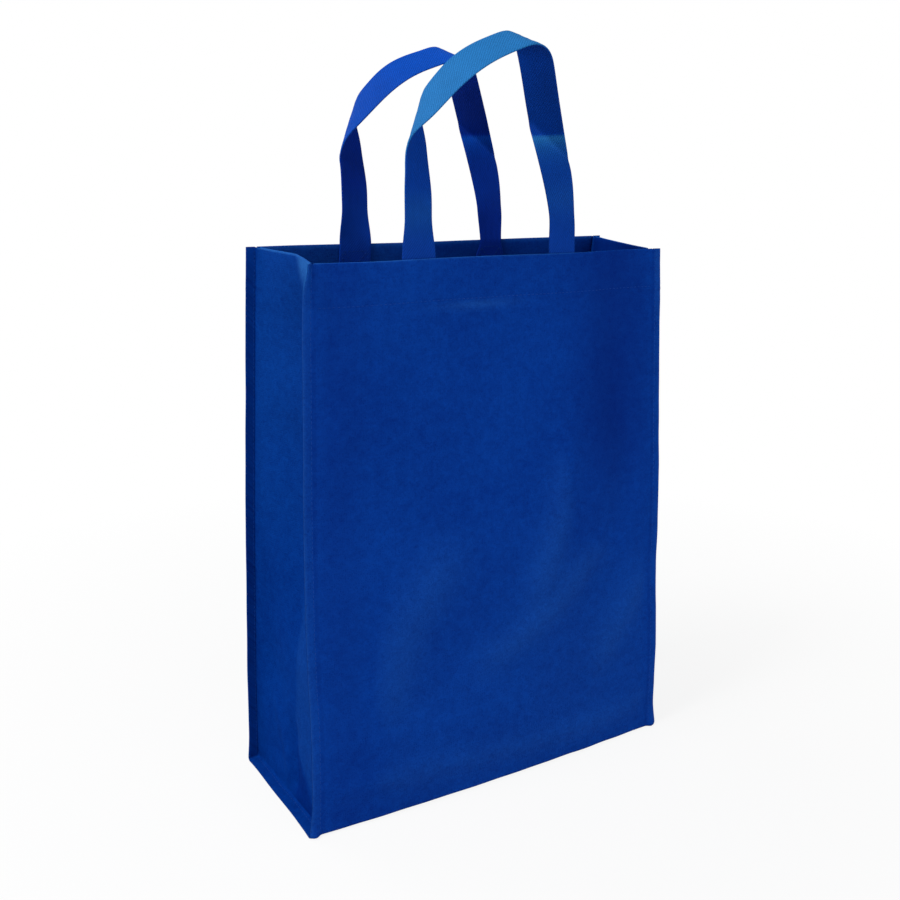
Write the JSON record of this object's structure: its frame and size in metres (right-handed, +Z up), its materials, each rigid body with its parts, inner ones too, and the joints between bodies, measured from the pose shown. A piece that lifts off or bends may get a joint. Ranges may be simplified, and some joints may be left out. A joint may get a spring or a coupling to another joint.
{
  "type": "shopping bag",
  "caption": "Upright open-top shopping bag of thin non-woven sheet with folded side gussets, sewn outward seam flanges, a turned hem and strap handles standing up in loops.",
  "frame": {"origin": "middle of the base, on the surface the bag stands on", "axes": "+X to the right across the front, +Y from the front to the back, +Z up"},
  "size_m": [0.3077, 0.1402, 0.5352],
  "materials": {
    "sheet": "royal blue spunbond polypropylene, fine embossed dots, slight sheen",
    "gusset_sheet": "royal blue spunbond polypropylene, fine embossed dots, slight sheen",
    "strap": "royal blue strap with a fine diagonal emboss"
  },
  "bodies": {
    "root": {"front_base_back": "sheet", "left_gusset": "gusset_sheet", "right_gusset": "gusset_sheet", "front_handle": "strap", "back_handle": "strap"}
  },
  "joints": []
}
